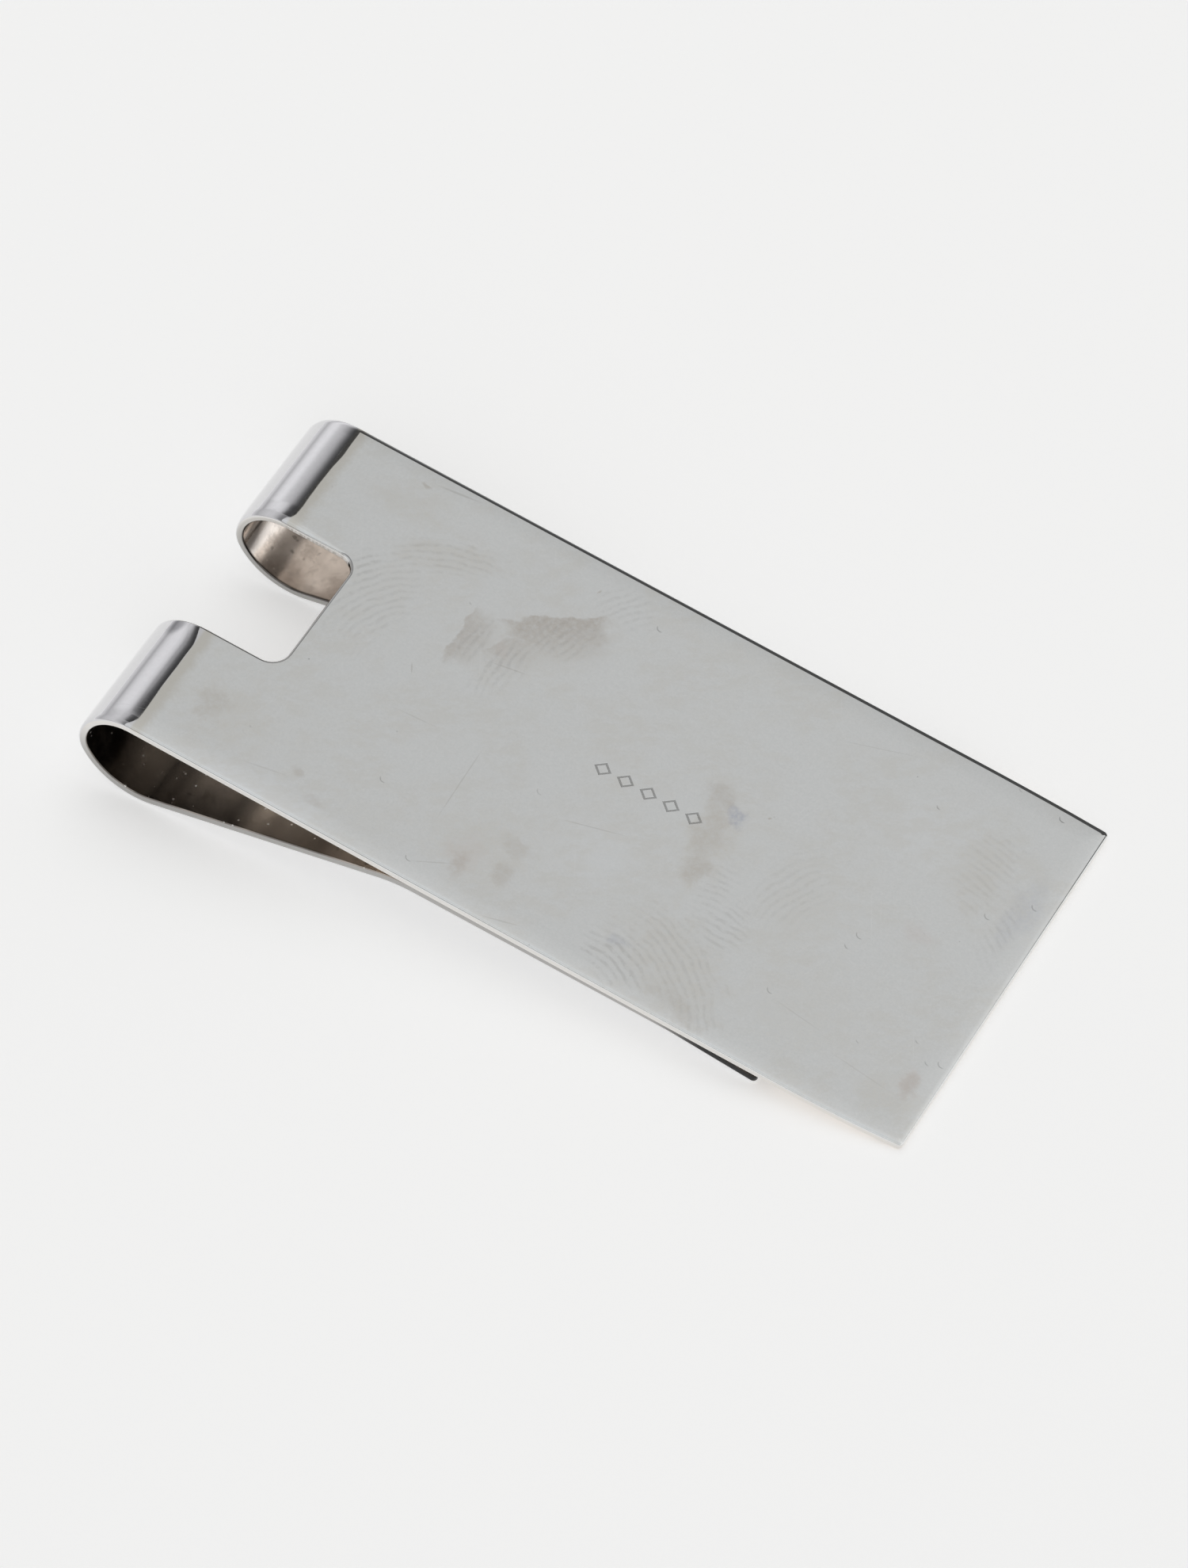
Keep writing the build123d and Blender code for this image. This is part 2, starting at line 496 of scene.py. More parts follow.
SMEARS = [
    (22.8, -9.5, 0.9, 0.9, 0, 0.5),
    (20.3, -10.4, 0.6, 1.1, 0, 0.6),
    (22.6, -7.6, 1.2, 0.8, 0, 0.35),
    (30.6, 2.2, 1.2, 1.0, 0, 0.6),
    (31.8, -2.9, 1.0, 1.5, 0, 0.55),
    (31.3, -0.2, 1.2, 3.2, 8, 0.4),
    (9.6, -10.2, 0.6, 0.35, -20, 0.6),
    (11.5, -11.4, 0.9, 0.4, 10, 0.4),
    (3.2, -9.0, 1.4, 1.4, 0, 0.35),
    (49.0, -9.0, 0.6, 1.1, 0, 0.55),
    (35.5, -11.8, 2.2, 0.9, -15, 0.35),
    (5.6, 11.7, 0.35, 0.2, 0, 0.8),
    (17.65, 10.9, 0.12, 0.3, -10, 1.0),
    (33.7, 2.5, 0.12, 0.15, 0, 1.0),
]
# Wiped smears are sharp on one long side: the left, looking the way they are turned
WIPES = [
    (17.4, 6.5, 3.2, 1.6, 36, 1.0),
    (13.35, 3.5, 2.1, 1.0, 90, 0.8),
    (15.8, 4.1, 1.9, 1.1, 55, 0.6),
]
CLEANED = [
    (8.4, -12.3, 5.2, 1.5, 0, 1.0),
    (26.5, -5.2, 3.2, 3.0, 0, 0.6),
    (41.5, 6.6, 3.4, 3.4, 0, 0.5),
]
BLUED = [
    (32.0, 1.5, 0.95, 0.6, -45, 1.0),
    (30.4, -9.8, 1.0, 0.5, 0, 0.5),
    (48.9, 5.0, 1.2, 3.2, 0, 0.35),
]
REDDENED = [
    (44.6, 0.4, 1.3, 0.9, 10, 0.5),
    (48.9, -8.9, 0.8, 1.4, 0, 0.6),
    (15.0, 3.9, 0.5, 0.8, 30, 0.4),
    (20.4, -9.6, 1.4, 1.8, 0, 0.4),
]
SCRATCHES = [
    (17.7, -5.5, 3.4, 0.06, 92, 0.7),
    (19.2, -11.1, 1.5, 0.06, 30, 0.8),
    (25.4, -3.9, 2.3, 0.05, 17, 0.8),
    (16.0, 3.0, 1.3, 0.06, 11, 0.9),
    (7.4, 12.15, 1.6, 0.10, 8, 0.9),
    (13.3, -3.05, 1.5, 0.05, 4, 0.6),
    (11.4, -0.2, 0.5, 0.07, -62, 0.9),
    (24.3, -12.4, 1.4, 0.07, 16, 0.7),
    (36.6, 10.4, 2.6, 0.05, 20, 0.5),
    (46.0, -9.7, 2.4, 0.05, -6, 0.5),
    (41.5, -8.4, 1.9, 0.05, -7, 0.5),
    (8.0, -11.0, 1.6, 0.07, 12, 0.5),
]
ARM_SMUDGES = [
    (-1.35, -5.0, 1.05, 0.55, 78, 1.0),
    (-0.1, 12.4, 0.5, 0.35, 20, 0.25),
]
# Fingerprints: the ridges' centre of curvature, and the patches where they have printed
RIDGE_PERIOD = 0.48
FINGERPRINTS = [
    ((13.0, -1.0), [(7.0, 3.0, 3.0, 4.4, 0, 0.5), (5.5, 4.4, 1.0, 1.9, -20, 0.8),
                    (9.3, 7.9, 4.0, 1.5, 24, 0.5)]),
    ((31.0, 3.0), [(13.3, 3.4, 1.2, 2.2, 0, 0.6), (15.6, 3.0, 1.3, 3.0, -8, 0.7),
                   (17.5, 6.5, 3.0, 1.6, 37, 0.6), (19.6, 10.6, 2.4, 1.6, 0, 0.45)]),
    ((29.5, -16.0), [(31.0, -10.7, 2.8, 2.0, -18, 1.0), (33.8, -9.0, 4.4, 2.4, -38, 0.6),
                     (36.6, -11.6, 2.0, 1.4, -20, 0.5)]),
    ((35.0, -18.0), [(35.2, -5.7, 1.5, 2.3, 0, 0.7), (33.3, -3.6, 1.2, 2.8, 0, 0.55)]),
    ((44.0, -4.0), [(37.0, -1.2, 2.4, 3.4, 0, 0.4), (46.0, 6.4, 1.9, 4.0, 8, 0.4),
                    (48.4, 3.2, 1.0, 3.0, 0, 0.5)]),
]
# Painted reflections and painted shade inside the strip: how bright its colour is, at lengths along it in mm,
# in bright and dark bands that stand in for what the hollow reflects
FAR_INNER_PAINTED_REFLECTIONS = [
    (44.0, 0.95), (45.4, 0.9), (46.6, 0.32), (49.4, 0.28), (50.3, 0.80), (54.3, 0.80), (55.0, 0.18),
    (56.0, 0.22), (56.9, 0.95), (57.6, 0.97), (58.0, 0.82), (62.5, 0.76), (64.0, 0.5)]
NEAR_INNER_PAINTED_REFLECTIONS = [
    (44.0, 0.85), (45.3, 0.8), (46.4, 0.25), (49.5, 0.25), (55.5, 0.24), (57.0, 0.14), (58.3, 0.15),
    (59.2, 0.36), (61.2, 0.30), (62.3, 0.2), (63.5, 0.5), (65.5, 0.42), (66.4, 0.24), (67.6, 0.50),
    (69.0, 0.25), (72.5, 0.22), (74.0, 0.6), (93.5, 0.6), (97.5, 0.06)]
# Where the fold's curve seems to set in a little early, on the near arm (-1) or the far arm (1):
# the distances from the fold it runs over, in mm, and its amount
ONSETS = [(-1, 0.30, -0.30, 3.2), (1, 0.50, -0.68, 4.4), (1, 0.44, 0.14, 0.7)]
RELIEF_DEPTH = 5e-6

# How strongly each kind of mark colours the plate's face, from the lowest layer up
FACE_MARKS = [
    ("cleaned", 0.5, (0.845, 0.865, 0.88)),
    ("film", 0.62, (0.725, 0.703, 0.648)),
    ("smear", 0.60, (0.53, 0.475, 0.415)),
    ("reddened", 0.25, (0.70, 0.56, 0.52)),
    ("blued", 0.55, (0.47, 0.50, 0.60)),
    ("ridges", 0.34, (0.46, 0.455, 0.44)),
    ("hairlines", 0.11, (0.95, 0.95, 0.95)),
    ("scratched", 0.32, (0.42, 0.40, 0.36)),
    ("nicks", 0.36, (0.24, 0.24, 0.23)),
    # darker next to the fold
    ("darker_by_fold", 0.75, (0.66, 0.635, 0.575)),
    ("hallmark", 0.50, (0.30, 0.295, 0.28)),
]
MARK_ROUGHNESS = [("film", 0.02), ("smear", 0.04), ("ridges", 0.05), ("hallmark", 0.3), ("nicks", 0.1)]
FACE_COLORS = (0.780, 0.793, 0.788, 1), (0.806, 0.817, 0.811, 1)
GRAIN_COLOR = (0.45, 0.45, 0.44, 1)
ARM_COLORS = (0.735, 0.732, 0.742, 1), (0.757, 0.754, 0.764, 1)
SMUDGE_COLOR = (0.40, 0.40, 0.41, 1)
SIDE_COLOR = (0.80, 0.78, 0.755, 1)
SHEARED_COLORS = (0.46, 0.43, 0.395, 1), (0.66, 0.63, 0.60, 1)
SHEARED_ARM_COLOR = (0.63, 0.61, 0.58, 1)
BROKEN_EDGE_COLOR = (0.80, 0.785, 0.765, 1)
LOWER_SIDE_COLOR = (0.36, 0.355, 0.345, 1)
# Painted shade on the side faces at the lip's end
LIP_SIDE_PAINTED_SHADE = (0.02, 0.02, 0.02, 1)
RIM_DIRT_COLOR = (0.34, 0.33, 0.31, 1)
BLACK = (0, 0, 0, 1)
NEAR_INNER_TINT = (1.0, 0.90, 0.80, 1)
FAR_INNER_TINT = (1.0, 0.925, 0.86, 1)
STAIN_COLOR = (0.25, 0.21, 0.18, 1)
SPOT_COLOR = (0.16, 0.14, 0.13, 1)
DARKENED_INSIDE_COLOR = (0.05, 0.045, 0.04, 1)
DUST_COLOR = (1.0, 0.97, 0.92, 1)


class Strip:
    """Places on the strip, as a material's sockets, and the noises that its marks share."""

    def __init__(self, g):
        self.blank = g.node("Attribute", attribute_name="blank").outputs["Vector"]
        self.length, self.y, self.height = g.node("SeparateXYZ", {"Vector": self.blank}).outputs
        self.from_fold = g.math("SUBTRACT", PLATE_END, self.length)
        self.flat = g.node("CombineXYZ", {"X": self.from_fold, "Y": self.y}).outputs[0]
        drift = g.node("TexNoise", {"Vector": self.flat, "Scale": 0.7, "Detail": 3.0}).outputs["Color"]
        drift = g.vector("SCALE", g.vector("SUBTRACT", drift, (0.5, 0.5, 0.5)).outputs[0])
        drift.inputs["Scale"].default_value = 1.1
        self.drift = drift.outputs[0]
        self.drifted = g.vector("ADD", self.flat, self.drift).outputs[0]
        self.outside = g.ramp(self.height, -0.27, -0.20)
        self.mottle = g.noise(self.flat, 3.2, 3.0, 0.65)
        ragged = g.math("SUBTRACT", g.noise(self.flat, 0.9, 4.0, 0.65), 0.5)
        self.ragged = g.math("MULTIPLY", ragged, 1.7)
        self.stain = g.noise(self.blank, 0.9, 4.0, 0.62)
        dust = g.math("MAXIMUM", g.specks(self.blank, 2.1, 0.18, 0.35),
                      g.specks(self.blank, 1.1, 0.12, 0.45))
        dust = g.math("MULTIPLY", dust, g.ramp(self.height, -0.20, -0.27))
        self.dust = g.math("MULTIPLY", dust, g.ramp(self.y, 3.0, -1.0, 0.25, 1.0))


def left_bright(g, length, stops):
    """The value of a table of (length, value) along the strip."""
    first, last = stops[0][0], stops[-1][0]
    place = g.math("DIVIDE", g.math("SUBTRACT", length, first), last - first)
    return g.graded(place, [((at - first) / (last - first), value) for at, value in stops])


def late_amount(g, y):
    """late_bend at the start of the fold."""
    total = 0.0
    for edge, reach, late in LATE_BENDS:
        away = g.math("DIVIDE", g.math("ABSOLUTE", g.math("SUBTRACT", y, edge)), reach)
        closeness = g.math("MAXIMUM", g.math("SUBTRACT", 1.0, away), 0.0)
        total = g.math("MAXIMUM", total, g.math("MULTIPLY", g.math("POWER", closeness, LATE_FALL), late))
    return total


def ridge_amount(g, flat, ragged):
    """Fingerprint ridges, from 0 to 1: broken curved lines."""
    wander = g.math("MULTIPLY", g.noise(flat, 0.55, 2.0), 0.7)
    total = 0.0
    for centre, places in FINGERPRINTS:
        away = g.vector("SUBTRACT", flat, (*centre, 0)).outputs[0]
        radius = g.math("ADD", g.vector("LENGTH", away).outputs["Value"], wander)
        wave = g.math("SINE", g.math("MULTIPLY", radius, 2 * pi / RIDGE_PERIOD))
        lines = g.math("MULTIPLY", g.ramp(wave, -0.5, 0.9), g.patches(flat, ragged, places))
        total = g.math("MAXIMUM", total, lines)
    return g.math("MULTIPLY", total, g.ramp(g.noise(flat, 2.4, 2.0), 0.34, 0.60, 0.25, 1.0))


def hairline_amount(g, flat):
    """Fine scratches in a few directions all over, from 0 to 1."""
    total = 0.0
    for k, degrees in enumerate((12, -38, 71, 118)):
        along_scratch = g.turned(flat, (7.3 * k, 3.1 * k), degrees, (7.0, 0.13))
        streak = g.noise(along_scratch, 1.0, 1.0)
        total = g.math("MAXIMUM", total, g.ramp(streak, 0.70, 0.80))
    return total


def nick_amount(g, flat, from_fold):
    """Short curled nicks, most of them towards the free end, and a few pits."""
    cell = g.node("TexVoronoi", {"Vector": flat, "Scale": 0.5, "Randomness": 1.0})
    chance = g.node("SeparateColor", {"Color": cell.outputs["Color"]}).outputs[0]
    ring = g.math("ABSOLUTE", g.math("SUBTRACT", cell.outputs["Distance"], 0.14))
    line = g.ramp(ring, 0.028, 0.006)
    spot = g.vector("SUBTRACT", cell.outputs["Position"], flat).outputs[0]
    one_side = g.ramp(g.vector("DOT_PRODUCT", spot, (0.6, 1.0, 0.0)).outputs["Value"], 0.12, 0.26)
    common = g.ramp(from_fold, 36.0, 42.0, 0.90, 0.40)
    rare = g.ramp(g.math("SUBTRACT", chance, common), 0.0, 0.05)
    curl = g.math("MULTIPLY", g.math("MULTIPLY", line, one_side), rare)
    return g.math("MAXIMUM", curl, g.math("MULTIPLY", g.specks(flat, 0.7, 0.045, 0.25), 0.7))


def hallmark_amount(g, flat):
    """A plain etched row of five outlined lozenges in the middle of the plate."""
    seen = g.node("SeparateXYZ", {"Vector": g.vector("SUBTRACT", flat, (27.0, 0.0, 0.0)).outputs[0]})
    x, y = seen.outputs[0], g.math("ABSOLUTE", seen.outputs[1])
    in_row = g.ramp(g.math("ABSOLUTE", x), 3.76, 3.74)
    in_cell = g.math("ABSOLUTE", g.math("WRAP", x, 0.75, -0.75))
    away = g.math("ADD", g.math("DIVIDE", in_cell, 0.55), g.math("DIVIDE", y, 0.50))
    line = g.ramp(g.math("ABSOLUTE", g.math("SUBTRACT", away, 0.86)), 0.20, 0.12)
    return g.math("MULTIPLY", line, in_row)


def plate_marks(g, strip):
    """How much of each kind of mark the plate's face has, from 0 to 1."""
    flat, drifted, ragged, mottle = strip.flat, strip.drifted, strip.ragged, strip.mottle
    cloud = g.noise(flat, 0.22, 4.0, 0.55)
    haze = g.noise(g.turned(flat, (0.0, 0.0), 35, (1.6, 0.8)), 1.0, 5.0, 0.68)
    film = g.math("MULTIPLY", g.patches(drifted, ragged, FILMS), g.ramp(mottle, 0.25, 0.7, 0.55, 1.0))
    film = g.math("MULTIPLY", film, g.ramp(haze, 0.30, 0.62, 0.45, 1.0))
    thin_film = g.math("MULTIPLY", g.ramp(cloud, 0.38, 0.60), g.ramp(haze, 0.38, 0.60, 0.05, 0.5))
    smear = g.math("MAXIMUM", g.patches(drifted, ragged, SMEARS), g.wipes(drifted, ragged, WIPES))
    crease = g.math("ADD", strip.from_fold, g.math("MULTIPLY", ragged, 0.5))
    return {
        "cleaned": g.patches(drifted, ragged, CLEANED),
        "film": g.math("MAXIMUM", film, thin_film),
        "smear": g.math("MULTIPLY", smear, g.ramp(mottle, 0.25, 0.65, 0.5, 1.0)),
        "reddened": g.patches(drifted, ragged, REDDENED),
        "blued": g.math("MULTIPLY", g.patches(drifted, ragged, BLUED), g.ramp(mottle, 0.35, 0.6, 0.3, 1.0)),
        "ridges": ridge_amount(g, flat, ragged),
        "hairlines": hairline_amount(g, flat),
        "scratched": g.patches(flat, g.math("MULTIPLY", ragged, 0.5), SCRATCHES),
        "nicks": nick_amount(g, flat, strip.from_fold),
        # Darker next to the fold, over about the first millimetre of the plate
        "darker_by_fold": g.ramp(crease, 1.3, 0.5),
        "hallmark": hallmark_amount(g, flat),
    }


def side_color(g, strip, by_window, on_plate):
    """The strip's side faces: polished, but sheared round the window, darker low down, and painted near black
    as shade at the lip's end.
    """
    sheared = g.node("CombineXYZ", {"X": g.math("MULTIPLY", strip.length, 7.0), "Y": strip.y,
                                    "Z": g.math("MULTIPLY", strip.height, 2.0)}).outputs[0]
    sheared = g.mix(g.ramp(g.noise(sheared, 1.0, 3.0), 0.38, 0.62), *SHEARED_COLORS)
    sheared = g.mix(on_plate, SHEARED_ARM_COLOR, sheared)
    sheared = g.mix(g.ramp(strip.height, 0.12, -0.08), BROKEN_EDGE_COLOR, sheared)
    side = g.mix(by_window, SIDE_COLOR, sheared)
    side = g.mix(g.ramp(strip.length, 53.0, 57.0, 0.0, 0.8), side, LOWER_SIDE_COLOR)
    # Painted shade: the side faces at the lip's end are painted near black
    return g.mix(g.ramp(strip.length, 93.5, 97.5, 0.0, 0.95), side, LIP_SIDE_PAINTED_SHADE)


def outer_color(g, strip, marks):
    """The colour of the strip's outer face, rims and sides."""
    face = g.mix(g.ramp(strip.mottle, 0.3, 0.7), *FACE_COLORS)
    face = g.mix(g.ramp(g.noise(strip.flat, 7.0, 2.0), 0.35, 0.65, 0.0, 0.05), face, GRAIN_COLOR)
    for mark, share, color in FACE_MARKS:
        face = g.mix(g.math("MULTIPLY", marks[mark], share), face, (*color, 1))
    arm = g.mix(g.ramp(strip.mottle, 0.3, 0.7), *ARM_COLORS)
    smudges = g.patches(strip.flat, g.math("MULTIPLY", strip.ragged, 0.3), ARM_SMUDGES)
    arm = g.mix(smudges, arm, SMUDGE_COLOR)
    from_window = g.math("ABSOLUTE", g.math("ADD", strip.from_fold, 4.0))
    by_window = g.math("MULTIPLY", g.ramp(g.math("ABSOLUTE", strip.y), 4.75, 4.68),
                       g.math("LESS_THAN", from_window, 12.0))
    on_plate = g.ramp(strip.from_fold, 0.1, 0.3)
    side = side_color(g, strip, by_window, on_plate)
    color = g.mix(g.ramp(strip.height, 0.15, 0.08), g.mix(on_plate, arm, face), side)
    rim_dirt = g.math("MULTIPLY", g.ramp(strip.height, 0.2745, 0.268), g.ramp(strip.height, 0.02, 0.08))
    rim_dirt = g.math("MULTIPLY", g.math("MULTIPLY", rim_dirt, by_window), g.ramp(strip.y, 4.45, 4.2))
    return g.mix(g.math("MULTIPLY", rim_dirt, 0.75), color, RIM_DIRT_COLOR)


def inner_color(g, strip):
    """The colour of the strip's inner face: painted reflections and painted shade along it, with stains, dark
    spots and dust.
    """
    # The far table is read at a warped length, so that its painted highlight fans out across the strip
    painted_highlight_length = g.math("MULTIPLY", g.ramp(strip.length, 54.7, 59.7, -1.7, 1.7),
                    g.ramp(strip.y, 4.5, 7.5, 0.5, -0.3))
    painted_highlight_length = g.math("ADD", strip.length, painted_highlight_length)
    # Painted reflections and painted shade on the near and far sides of the hollow, from the tables
    near = g.mix(left_bright(g, strip.length, NEAR_INNER_PAINTED_REFLECTIONS), BLACK, NEAR_INNER_TINT)
    far = g.mix(left_bright(g, painted_highlight_length, FAR_INNER_PAINTED_REFLECTIONS), BLACK, FAR_INNER_TINT)
    inner = g.mix(g.ramp(strip.y, -1.0, 3.0), near, far)
    inner = g.mix(g.ramp(strip.stain, 0.45, 0.68, 0.0, 0.3), inner, STAIN_COLOR)
    spots = g.specks(g.vector("ADD", strip.blank, strip.drift).outputs[0], 1.3, 0.26, 0.40)
    spots = g.math("MULTIPLY", spots, g.ramp(strip.length, 56.5, 58.0))
    inner = g.mix(g.math("MULTIPLY", spots, 0.5), inner, SPOT_COLOR)
    # Near black on the strip's inside, between its middle and 4.7 mm out on the far side, from about 53 mm
    # along it
    darkened_inside = g.math("MULTIPLY", g.ramp(strip.y, 4.80, 4.64), g.ramp(strip.length, 52.5, 54.0))
    darkened_inside = g.math("MULTIPLY", darkened_inside, g.math("GREATER_THAN", strip.y, 0.0))
    inner = g.mix(g.math("MULTIPLY", darkened_inside, 0.85), inner, DARKENED_INSIDE_COLOR)
    return g.mix(strip.dust, inner, DUST_COLOR)


def roughness(g, strip, marks):
    """How rough the metal is: least outside, most in the near side of the hollow."""
    outer = g.ramp(strip.mottle, 0.3, 0.7, 0.045, 0.065)
    for mark, share in MARK_ROUGHNESS:
        outer = g.math("ADD", outer, g.math("MULTIPLY", marks[mark], share))
    inner = g.math("ADD", g.ramp(strip.stain, 0.35, 0.65, 0.12, 0.20), g.math("MULTIPLY", strip.dust, 0.3))
    inner = g.math("ADD", inner, g.ramp(strip.y, 0.0, -3.0, 0.0, 0.06))
    return g.node("Mix", {0: strip.outside, 2: inner, 3: outer}, data_type="FLOAT").outputs[0]


def relief_normal(g, strip, marks):
    """The fine relief of marks and of the uneven start of the fold."""
    relief = g.math("SUBTRACT", g.noise(strip.blank, 0.3, 2.0), g.math("MULTIPLY", marks["hairlines"], 0.04))
    relief = g.math("SUBTRACT", relief, g.math("MULTIPLY", marks["nicks"], 0.25))
    relief = g.math("SUBTRACT", relief, g.math("MULTIPLY", marks["hallmark"], 3.0))
    wavering = g.math("MULTIPLY", g.math("SUBTRACT", g.noise(strip.blank, 0.35, 1.0), 0.5), 0.25)
    wavering = g.math("ADD", g.math("ADD", strip.from_fold, wavering), late_amount(g, strip.y))
    for side, start, end, amount in ONSETS:
        on_arm = g.math("LESS_THAN" if side < 0 else "GREATER_THAN", strip.y, 0.0)
        onset = g.math("MULTIPLY", g.ramp(wavering, start, end), on_arm)
        relief = g.math("SUBTRACT", relief, g.math("MULTIPLY", onset, amount))
    bump = g.node("Bump", {"Height": relief, "Strength": 1.0, "Distance": RELIEF_DEPTH})
    return bump.outputs[0]


def polished_metal():
    """Polished silvery metal that has been handled: smudged outside; stained and dusty in the hollow, with
    painted reflections and painted shade there.
    """
    g = Graph("polished_metal")
    strip = Strip(g)
    marks = plate_marks(g, strip)
    color = g.mix(strip.outside, inner_color(g, strip), outer_color(g, strip, marks))
    g.put(color, g.shader.inputs["Base Color"])
    g.put(1.0, g.shader.inputs["Metallic"])
    g.put(roughness(g, strip, marks), g.shader.inputs["Roughness"])
    g.put(relief_normal(g, strip, marks), g.shader.inputs["Normal"])
    return g.material


# ---------------------------------------------------------------- the clip
metal = polished_metal()
plate = make_plate()
leaf = make_leaf()
near_arm = make_arm("polished_near_arm", -1)
far_arm = make_arm("polished_far_arm", 1)
for piece in (plate, leaf, near_arm, far_arm):
    piece.data.materials.append(metal)

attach(plate, "plate")
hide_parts("back_plate")
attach(leaf, "leaf")
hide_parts("spring_leaf")
bend_top = strip_frame(FOLD_AT)[0] * MM
bend_bottom = strip_frame(LEAF_AT)[0] * MM
for arm, node in ((near_arm, "near_fold_arm"), (far_arm, "far_fold_arm")):
    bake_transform(arm)
    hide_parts(node)


# ---------------------------------------------------------------- stage, light and camera
FLOOR_SIZE = 6.0
CEILING = 0.5
ARCH_CENTRE = (-0.023, 0.003)
ARCH_RADIUS = 0.5
ARCH_START = 11.3
ARCH_STEPS = 48
ARCH_TINT = (0.985, 0.98, 1.0)
GLOOM_RADIUS = 2.8
GLOOM_STRENGTH = 0.075
FLOOR_WARM = (0.90, 0.90, 0.895, 1)
FLOOR_GLOW = 0.42
WORLD_STRENGTH = 0.34


def glow_material(name, x_stops, y_stops, tint):
    """Light graded along a board's two edges."""
    g = Graph(name)
    g.tree.nodes.remove(g.shader)
    place = g.node("SeparateXYZ", {"Vector": g.node("TexCoord").outputs["UV"]}).outputs
    across, up = g.graded(place[0], x_stops), g.graded(place[1], y_stops)
    color = g.vector("MULTIPLY", g.vector("MULTIPLY", across, up).outputs[0], tint).outputs[0]
    glow = g.node("Emission", {"Color": color})
    g.put(glow.outputs[0], g.tree.nodes["Material Output"].inputs["Surface"])
    return g.material


def board(name, corner, x_edge, y_edge, x_stops=((0, 1),), y_stops=((0, 1),), tint=(1, 1, 1)):
    """A glowing board that only the metal sees. The stops' places are metres along its edges."""
    corner, x_edge, y_edge = Vector(corner), Vector(x_edge), Vector(y_edge)
    mesh = bpy.data.meshes.new(name)
    mesh.from_pydata([corner, corner + x_edge, corner + x_edge + y_edge, corner + y_edge], [], [(0, 1, 2, 3)])
    mesh.uv_layers.new(name="edges").data.foreach_set("uv", [0, 0, 1, 0, 1, 1, 0, 1])
    x_stops = [(place / x_edge.length, strength) for place, strength in x_stops]
    y_stops = [(place / y_edge.length, strength) for place, strength in y_stops]
    mesh.materials.append(glow_material(name, x_stops, y_stops, tint))
    only_for_metal(bpy.data.objects.new(name, mesh))


def only_for_metal(thing):
    """Puts something on the stage that shows only in reflections."""
    for sight in ("camera", "diffuse", "transmission", "volume_scatter", "shadow"):
        setattr(thing, "visible_" + sight, False)
    bpy.context.scene.collection.objects.link(thing)


def arch(name, y_low, y_high, stops):
    """A quarter of a glowing tube round the fold, whose stops are degrees of the fold's outer face."""
    first, last = ARCH_START, ARCH_START + 2 * (stops[-1][0] - stops[0][0])
    corners, uvs, faces = [], [], []
    for k in range(ARCH_STEPS + 1):
        share = k / ARCH_STEPS
        angle = radians(first + (last - first) * share)
        x, z = ARCH_CENTRE[0] - ARCH_RADIUS * sin(angle), ARCH_CENTRE[1] + ARCH_RADIUS * cos(angle)
        corners += [(x, y_low, z), (x, y_high, z)]
        uvs += [(share, 0), (share, 1)]
        if k:
            faces.append((2 * k - 2, 2 * k - 1, 2 * k + 1, 2 * k))
    mesh = bpy.data.meshes.new(name)
    mesh.from_pydata(corners, [], faces)
    layer = mesh.uv_layers.new(name="edges")
    for loop in mesh.loops:
        layer.data[loop.index].uv = uvs[loop.vertex_index]
    shares = [((at - stops[0][0]) / (stops[-1][0] - stops[0][0]), strength) for at, strength in stops]
    mesh.materials.append(glow_material(name, shares, [(0, 1)], ARCH_TINT))
    only_for_metal(bpy.data.objects.new(name, mesh))


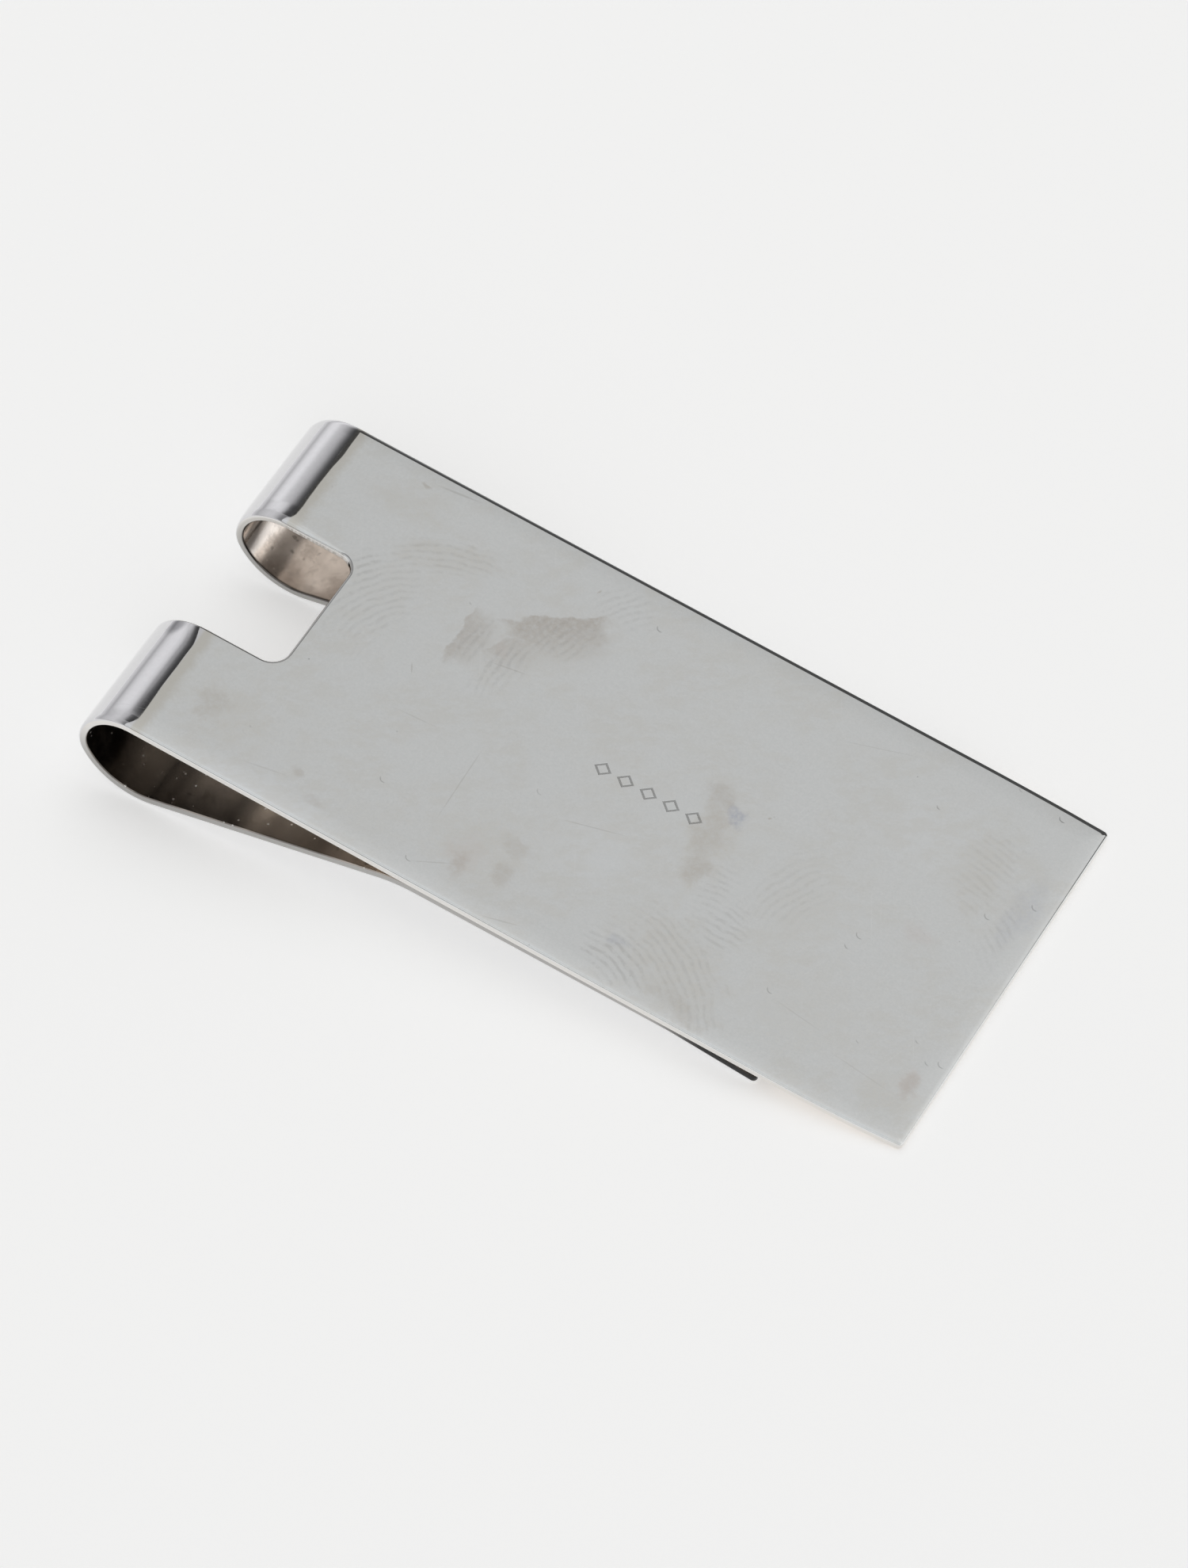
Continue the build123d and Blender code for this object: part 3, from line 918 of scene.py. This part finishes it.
def make_boards():
    """What the metal reflects: a grey board over the plate, brighter ones round it, dark gaps between."""
    board("over_plate", (-0.122, 0.42, CEILING), (1.122, 0, 0), (0, -0.34, 0),
          [(0, 0.60), (0.02, 0.61), (0.127, 0.635), (0.145, 0.68), (0.24, 0.72), (0.306, 0.74),
           (0.53, 0.88), (1.122, 1.0)],
          [(0, 0.86), (0.05, 0.96), (0.065, 1.0), (0.121, 1.0), (0.145, 1.10), (0.21, 1.12), (0.34, 1.12)])
    board("overhead", (-0.5, 0.08, CEILING), (1.5, 0, 0), (0, -0.6, 0),
          [(0, 0.9), (0.5, 1.0), (1.5, 1.0)], [(0, 0.80), (0.15, 0.72), (0.25, 0.78), (0.6, 1.05)],
          (0.97, 0.985, 1.0))
    arch("by_near_arm", 0.287, 0.322,
         [(1.05, 0.05), (4, 0.06), (6, 0.09), (8, 0.17), (9.2, 0.32), (12, 0.61), (14, 0.77),
          (18, 0.88), (22, 0.885), (26, 0.84), (30, 0.70), (33, 0.515), (34, 0.50), (36, 0.62),
          (40.4, 0.82)])
    arch("by_far_arm", 0.322, 1.6,
         [(1.05, 0.06), (3, 0.08), (5, 0.14), (6.5, 0.21), (8, 0.30), (10.5, 0.46), (13, 0.56),
          (16, 0.65), (18, 0.72), (21, 0.87), (24, 0.945), (28, 0.90), (31, 0.76), (34, 0.59),
          (35, 0.575), (38, 0.74), (40.4, 0.84)])
    arch("by_near_edge", -1.4, 0.287,
         [(1.05, 0.30), (2.5, 0.22), (5, 0.28), (8, 0.42), (11, 0.56), (16, 0.70), (22, 0.70),
          (28, 0.62), (34, 0.50), (40.4, 0.78)])
    board("far_side", (-1.3, 2.4, 0.0), (2.6, 0, 0), (0, 0, 0.5),
          [(0, 0.7), (2.6, 0.7)], [(0, 1.0), (0.5, 0.6)])
    board("right_side", (1.3, -1.2, 0.0), (0, 2.6, 0), (0, 0, 1.1),
          [(0, 0.8), (1.3, 1.3), (2.6, 0.95)], [(0, 0.9), (1.1, 1.0)])
    board("front_side", (-1.3, -1.4, 0.0), (2.6, 0, 0), (0, 0, 1.0),
          [(0, 0.8), (0.9, 0.95), (2.6, 0.8)], [(0, 0.9), (1.0, 1.0)])


def make_gloom():
    """The dim room behind the boards, which only the metal sees."""
    mesh = bpy.data.meshes.new("gloom")
    shell = bmesh.new()
    bmesh.ops.create_icosphere(shell, subdivisions=3, radius=GLOOM_RADIUS)
    shell.to_mesh(mesh)
    shell.free()
    g = Graph("gloom")
    g.tree.nodes.remove(g.shader)
    glow = g.node("Emission", {"Color": (1, 1, 1, 1), "Strength": GLOOM_STRENGTH})
    g.put(glow.outputs[0], g.tree.nodes["Material Output"].inputs["Surface"])
    mesh.materials.append(g.material)
    only_for_metal(bpy.data.objects.new("gloom", mesh))


def make_floor():
    """A plain pale floor."""
    mesh = bpy.data.meshes.new("floor")
    h = FLOOR_SIZE / 2
    mesh.from_pydata([(-h, -h, 0), (h, -h, 0), (h, h, 0), (-h, h, 0)], [], [(0, 1, 2, 3)])
    floor = bpy.data.objects.new("floor", mesh)
    bpy.context.scene.collection.objects.link(floor)
    g = Graph("floor")
    g.shader.inputs["Base Color"].default_value = FLOOR_WARM
    g.shader.inputs["Roughness"].default_value = 0.9
    g.shader.inputs["Specular IOR Level"].default_value = 0.0
    g.shader.inputs["Emission Color"].default_value = FLOOR_WARM
    g.shader.inputs["Emission Strength"].default_value = FLOOR_GLOW
    mesh.materials.append(g.material)


def make_world():
    """Even light from all round, which lights the floor and doesn't show in the metal."""
    world = bpy.data.worlds.new("studio")
    bpy.context.scene.world = world
    world.use_nodes = True
    background = world.node_tree.nodes["Background"]
    background.inputs["Color"].default_value = (1, 1, 1, 1)
    background.inputs["Strength"].default_value = WORLD_STRENGTH
    world.cycles_visibility.glossy = False


def make_lamps():
    """Large soft lamps, which don't show in the metal."""
    for name, place, size, power in (("key", (-0.2, 0.2, 1.0), 1.4, 3.2),
                                     ("front", (0.4, -1.0, 0.7), 1.0, 1.2)):
        data = bpy.data.lights.new(name, "AREA")
        data.shape = "SQUARE"
        data.size = size
        data.energy = power
        lamp = bpy.data.objects.new(name, data)
        lamp.location = place
        lamp.rotation_euler = (-Vector(place)).to_track_quat("-Z", "Y").to_euler()
        lamp.visible_glossy = False
        bpy.context.scene.collection.objects.link(lamp)


CAMERA_AZIMUTH, CAMERA_ELEVATION, CAMERA_ROLL = 26.976, 52.038, 2.762
CAMERA_DISTANCE = 0.501
CAMERA_LENS = 200.1
CAMERA_RISE = 0.0012


def make_camera():
    a, e, roll = (radians(v) for v in (CAMERA_AZIMUTH, CAMERA_ELEVATION, CAMERA_ROLL))
    back = Vector((sin(a) * cos(e), -cos(a) * cos(e), sin(e)))
    level = Vector((cos(a), sin(a), 0))
    upright = back.cross(level)
    right = level * cos(roll) + upright * sin(roll)
    up = upright * cos(roll) - level * sin(roll)
    data = bpy.data.cameras.new("camera")
    data.lens = CAMERA_LENS
    data.sensor_width = 36
    data.clip_start, data.clip_end = 0.01, 20
    camera = bpy.data.objects.new("camera", data)
    place = back * CAMERA_DISTANCE + up * CAMERA_RISE
    camera.matrix_world = Matrix((
        (right.x, up.x, back.x, place.x),
        (right.y, up.y, back.y, place.y),
        (right.z, up.z, back.z, place.z),
        (0, 0, 0, 1)))
    bpy.context.scene.collection.objects.link(camera)
    bpy.context.scene.camera = camera


make_floor()
make_world()
make_boards()
make_gloom()
make_lamps()
make_camera()
bpy.context.scene.view_settings.view_transform = "Standard"
